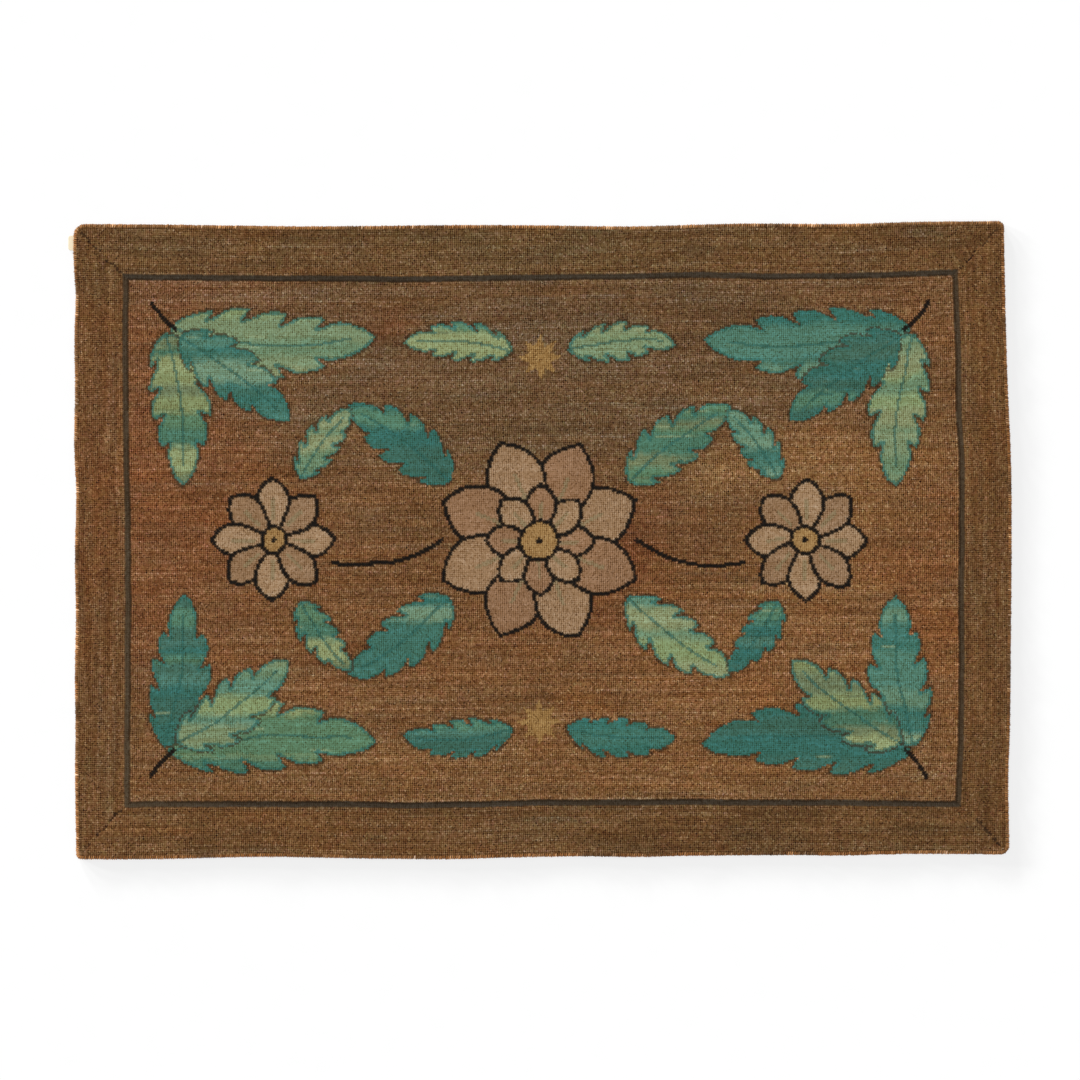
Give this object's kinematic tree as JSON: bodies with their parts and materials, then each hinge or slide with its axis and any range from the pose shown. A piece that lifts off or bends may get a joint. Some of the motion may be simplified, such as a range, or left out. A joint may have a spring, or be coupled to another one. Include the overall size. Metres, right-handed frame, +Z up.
{
  "type": "hooked rug",
  "caption": "Flat hooked rug with a heathered brown ground, mitred border, dark inner line, a leaf and blossom design in teal and beige, and a cream tape tab under one edge.",
  "frame": {"origin": "middle of the rug's footprint, tape tab included, on the surface the rug lies on", "axes": "+X along the long side, to the right in the picture; +Y towards the picture's top edge; +Z up, out of the pile"},
  "size_m": [1.0132, 0.685, 0.0055],
  "materials": {
    "hooked_pile": "low looped pile of narrow dyed cloth strips, heathered brown, matt with a faint sheen",
    "jute_hessian": "coarse plain-woven jute, natural brown, matt",
    "cotton_tape": "unbleached cotton twill tape, cream, matt"
  },
  "bodies": {
    "root": {"hooked_mat": "hooked_pile", "tape_tab": "cotton_tape"}
  },
  "joints": []
}
